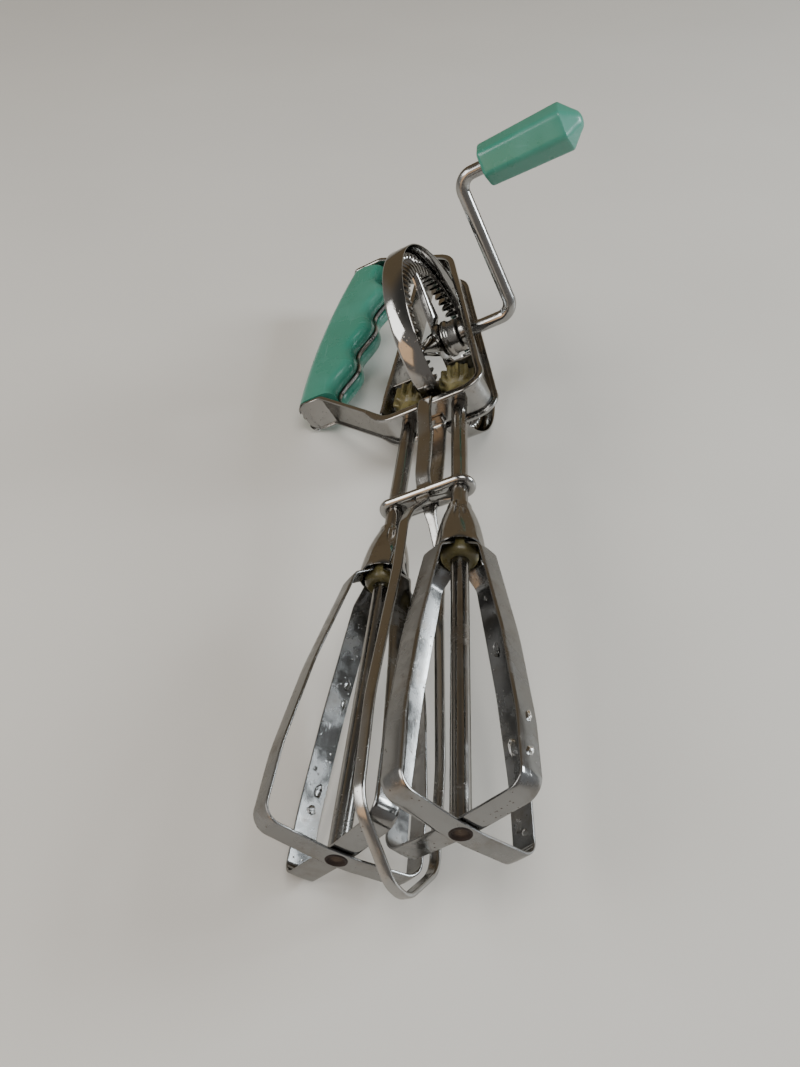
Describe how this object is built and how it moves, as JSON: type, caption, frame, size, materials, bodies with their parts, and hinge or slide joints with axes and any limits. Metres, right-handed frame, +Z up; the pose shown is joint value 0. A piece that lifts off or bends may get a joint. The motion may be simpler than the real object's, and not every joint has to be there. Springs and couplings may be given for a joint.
{
  "type": "rotary egg beater",
  "caption": "Hand-cranked mixer: a toothed drive wheel turns interleaved strip beaters through pinions, on a strip frame with a finger-grip handle and a crank knob",
  "frame": {"origin": "centre of the footprint on the surface the beater lies on", "axes": "+Y runs along the beater toward the handle end, +Z is up from the surface, +X is toward the crank side"},
  "size_m": [0.1016, 0.2926, 0.1179],
  "materials": {
    "frame_strip": "bright plated steel",
    "left_wall": "bright plated steel",
    "handle_core": "bright plated steel",
    "handle_front": "smooth turquoise moulding",
    "handle_back": "smooth turquoise moulding",
    "collar_plate": "bright plated steel",
    "guard_loop": "bright plated steel",
    "crank_bearing": "bright plated steel",
    "drive_wheel": "bright plated steel",
    "wheel_hub": "bright plated steel",
    "crank_rod": "bright plated steel",
    "crank_stop": "bright plated steel",
    "knob": "smooth turquoise moulding",
    "right_shaft": "bright plated steel",
    "right_pinion": "moulded olive nylon",
    "right_bell": "bright plated steel",
    "right_bushing": "moulded olive nylon",
    "right_blade_inner": "bright plated steel",
    "right_blade_outer": "bright plated steel",
    "right_rivet": "worn rivet head with brown rust",
    "left_shaft": "bright plated steel",
    "left_pinion": "moulded olive nylon",
    "left_bell": "bright plated steel",
    "left_bushing": "moulded olive nylon",
    "left_blade_inner": "bright plated steel",
    "left_blade_outer": "bright plated steel",
    "left_rivet": "worn rivet head with brown rust"
  },
  "bodies": {
    "frame": {"frame_strip": "frame_strip", "left_wall": "left_wall", "handle_core": "handle_core", "handle_front": "handle_front", "handle_back": "handle_back", "collar_plate": "collar_plate", "guard_loop": "guard_loop", "crank_bearing": "crank_bearing"},
    "crank": {"drive_wheel": "drive_wheel", "wheel_hub": "wheel_hub", "crank_rod": "crank_rod", "crank_stop": "crank_stop"},
    "knob": {"knob": "knob"},
    "right_beater": {"right_shaft": "right_shaft", "right_pinion": "right_pinion", "right_bell": "right_bell", "right_bushing": "right_bushing", "right_blade_inner": "right_blade_inner", "right_blade_outer": "right_blade_outer", "right_rivet": "right_rivet"},
    "left_beater": {"left_shaft": "left_shaft", "left_pinion": "left_pinion", "left_bell": "left_bell", "left_bushing": "left_bushing", "left_blade_inner": "left_blade_inner", "left_blade_outer": "left_blade_outer", "left_rivet": "left_rivet"}
  },
  "joints": [
    {"name": "crank_spin", "type": "hinge", "parent": "frame", "child": "crank", "pos_m": [0.00419, 0.07135, 0.03429], "axis": [0.881, -0.0135, 0.4729], "continuous": true},
    {"name": "right_beater_spin", "type": "hinge", "parent": "frame", "child": "right_beater", "pos_m": [0.0127, 0.02844, 0.03764], "axis": [-0.0395, 0.9992, 0.0073], "continuous": true},
    {"name": "left_beater_spin", "type": "hinge", "parent": "frame", "child": "left_beater", "pos_m": [-0.00432, 0.0287, 0.0285], "axis": [0.0395, 0.998, 0.0497], "continuous": true},
    {"name": "knob_spin", "type": "hinge", "parent": "crank", "child": "knob", "pos_m": [0.01818, 0.0847, 0.09701], "axis": [0.881, -0.0135, 0.4729], "continuous": true}
  ],
  "couplings": [
    {"joint": "right_beater_spin", "follows": "crank_spin", "ratio": -4.6154},
    {"joint": "left_beater_spin", "follows": "crank_spin", "ratio": 4.6154}
  ]
}
